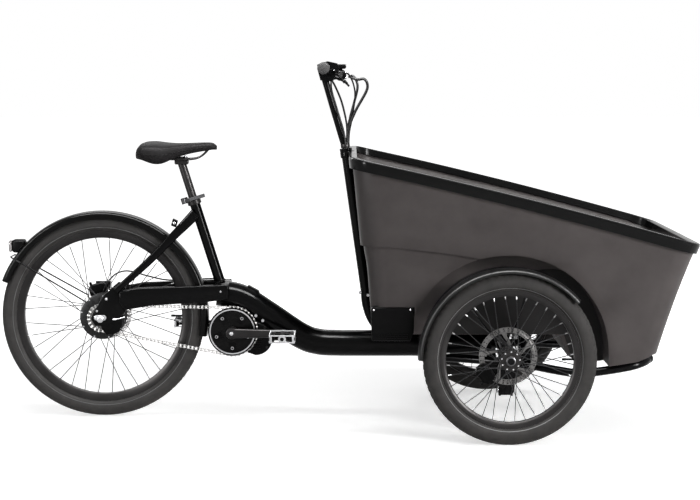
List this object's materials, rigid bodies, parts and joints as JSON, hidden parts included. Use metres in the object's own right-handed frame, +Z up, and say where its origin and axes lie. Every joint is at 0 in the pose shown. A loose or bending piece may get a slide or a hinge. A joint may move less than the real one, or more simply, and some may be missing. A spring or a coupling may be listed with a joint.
{
  "type": "cargo bike",
  "caption": "Leaning front-load cargo bike: deep open box between steered front wheels, low step-through frame, mid motor, chain drive, padded saddle, swept bar and mudguards.",
  "frame": {"origin": "middle of the machine's footprint, on the ground", "axes": "+X forward, +Y to the rider's left, +Z up"},
  "size_m": [2.1745, 0.904, 1.143],
  "materials": {
    "frame_black": "gloss paint",
    "box_grey": "fine grain, satin",
    "trim_black": "smooth gloss",
    "tyre_rubber": "matt",
    "hose_rubber": "matt",
    "alloy_black": "black anodised",
    "steel": "bright",
    "chain_steel": "oiled",
    "plastic_black": "fine grain",
    "saddle_skin": "soft satin",
    "grip_rubber": "matt ribbed",
    "lens_grey": "clear"
  },
  "bodies": {
    "frame": {"main_frame": "frame_black", "rear_frame_right": "frame_black", "rear_frame_left": "frame_black", "front_hoop": "frame_black", "box_tub": "box_grey", "box_rim": "trim_black", "service_cover_right": "plastic_black", "service_cover_left": "plastic_black", "battery_pack": "plastic_black", "motor_casing": "plastic_black", "rear_mudguard": "plastic_black", "mudguard_stay": "frame_black", "rear_lamp": "plastic_black", "rear_lamp_lens": "lens_grey", "rear_axle": "steel", "chain": "chain_steel", "rear_caliper": "plastic_black", "seat_collar": "alloy_black"},
    "rear_wheel": {"rear_tyre": "tyre_rubber", "rear_rim": "alloy_black", "rear_rotor": "steel"},
    "rear_cog": {"rear_cog": "steel"},
    "crank": {"crank_right": "alloy_black", "crank_left": "alloy_black", "chain_ring": "steel", "chain_guard": "plastic_black"},
    "pedal_right": {"pedal_right": "plastic_black"},
    "pedal_left": {"pedal_left": "plastic_black"},
    "saddle": {"seat_post": "alloy_black", "saddle_rails": "steel", "saddle": "saddle_skin"},
    "seat_lever": {"seat_lever": "steel"},
    "handlebar": {"mast": "frame_black", "handlebar": "alloy_black", "grip_left": "grip_rubber", "grip_right": "grip_rubber", "brake_body_left": "plastic_black", "brake_body_right": "plastic_black", "display": "plastic_black", "brake_hose_left": "hose_rubber", "brake_hose_right": "hose_rubber"},
    "brake_lever_right": {"brake_lever_right": "alloy_black"},
    "brake_lever_left": {"brake_lever_left": "alloy_black"},
    "lower_beam": {"lower_beam": "frame_black"},
    "upper_beam": {"upper_beam": "frame_black"},
    "upright_right": {"upright_right": "frame_black"},
    "knuckle_right": {"knuckle_right": "frame_black", "front_caliper_right": "plastic_black", "front_mudguard_right": "trim_black"},
    "front_wheel_right": {"front_tyre_right": "tyre_rubber", "front_rim_right": "alloy_black", "front_rotor_right": "steel"},
    "upright_left": {"upright_left": "frame_black"},
    "knuckle_left": {"knuckle_left": "frame_black", "front_caliper_left": "plastic_black", "front_mudguard_left": "trim_black"},
    "front_wheel_left": {"front_tyre_left": "tyre_rubber", "front_rim_left": "alloy_black", "front_rotor_left": "steel"}
  },
  "joints": [
    {"name": "rear_wheel_spin", "type": "hinge", "parent": "frame", "child": "rear_wheel", "pos_m": [-0.761, 0, 0.3265], "axis": [0, 1, 0], "continuous": true},
    {"name": "rear_cog_spin", "type": "hinge", "parent": "frame", "child": "rear_cog", "pos_m": [-0.761, 0, 0.3265], "axis": [0, 1, 0], "continuous": true},
    {"name": "crank_spin", "type": "hinge", "parent": "frame", "child": "crank", "pos_m": [-0.3415, 0, 0.283], "axis": [0, 1, 0], "continuous": true},
    {"name": "pedal_right_spin", "type": "hinge", "parent": "crank", "child": "pedal_right", "pos_m": [-0.1765, 0, 0.283], "axis": [0, 1, 0], "continuous": true},
    {"name": "pedal_left_spin", "type": "hinge", "parent": "crank", "child": "pedal_left", "pos_m": [-0.5065, 0, 0.283], "axis": [0, 1, 0], "continuous": true},
    {"name": "saddle_height", "type": "slide", "parent": "frame", "child": "saddle", "axis": [-0.2963, 0, 0.9551], "range_m": [-0.07, 0.05]},
    {"name": "seat_clamp", "type": "hinge", "parent": "frame", "child": "seat_lever", "pos_m": [-0.4951, -0.0155, 0.6989], "axis": [0.2963, 0, -0.9551], "range_deg": [0, 90]},
    {"name": "bar_steer", "type": "hinge", "parent": "frame", "child": "handlebar", "pos_m": [0.0215, 0, 0.868], "axis": [-0.1393, 0, 0.9903], "range_deg": [-20, 20]},
    {"name": "brake_lever_right", "type": "hinge", "parent": "handlebar", "child": "brake_lever_right", "pos_m": [-0.014, -0.202, 1.1095], "axis": [0, 0, -1], "range_deg": [0, 12], "stiffness_Nm_per_rad": 4, "springref_deg": -8.59},
    {"name": "brake_lever_left", "type": "hinge", "parent": "handlebar", "child": "brake_lever_left", "pos_m": [-0.014, 0.202, 1.1095], "axis": [0, 0, 1], "range_deg": [0, 12], "stiffness_Nm_per_rad": 4, "springref_deg": -8.59},
    {"name": "tilt", "type": "hinge", "parent": "frame", "child": "lower_beam", "pos_m": [0.512, 0, 0.14], "axis": [1, 0, 0], "range_deg": [-5, 5]},
    {"name": "upper_beam_tilt", "type": "hinge", "parent": "frame", "child": "upper_beam", "pos_m": [0.512, 0, 0.256], "axis": [1, 0, 0], "range_deg": [-5, 5]},
    {"name": "upright_right_tilt", "type": "hinge", "parent": "lower_beam", "child": "upright_right", "pos_m": [0.512, -0.285, 0.14], "axis": [1, 0, 0], "range_deg": [-5, 5]},
    {"name": "wheel_steer_right", "type": "hinge", "parent": "upright_right", "child": "knuckle_right", "pos_m": [0.512, -0.318, 0.26], "axis": [0, 0, 1], "range_deg": [-14.1, 14.1]},
    {"name": "front_wheel_spin_right", "type": "hinge", "parent": "knuckle_right", "child": "front_wheel_right", "pos_m": [0.512, -0.411, 0.26], "axis": [0, 1, 0], "continuous": true},
    {"name": "upright_left_tilt", "type": "hinge", "parent": "lower_beam", "child": "upright_left", "pos_m": [0.512, 0.285, 0.14], "axis": [1, 0, 0], "range_deg": [-5, 5]},
    {"name": "wheel_steer_left", "type": "hinge", "parent": "upright_left", "child": "knuckle_left", "pos_m": [0.512, 0.318, 0.26], "axis": [0, 0, 1], "range_deg": [-14.1, 14.1]},
    {"name": "front_wheel_spin_left", "type": "hinge", "parent": "knuckle_left", "child": "front_wheel_left", "pos_m": [0.512, 0.411, 0.26], "axis": [0, 1, 0], "continuous": true}
  ],
  "couplings": [
    {"joint": "rear_cog_spin", "follows": "crank_spin", "ratio": 1.9},
    {"joint": "upper_beam_tilt", "follows": "tilt", "ratio": 1},
    {"joint": "upright_right_tilt", "follows": "tilt", "ratio": -1},
    {"joint": "wheel_steer_right", "follows": "bar_steer", "ratio": 0.7},
    {"joint": "upright_left_tilt", "follows": "tilt", "ratio": -1},
    {"joint": "wheel_steer_left", "follows": "bar_steer", "ratio": 0.7}
  ]
}
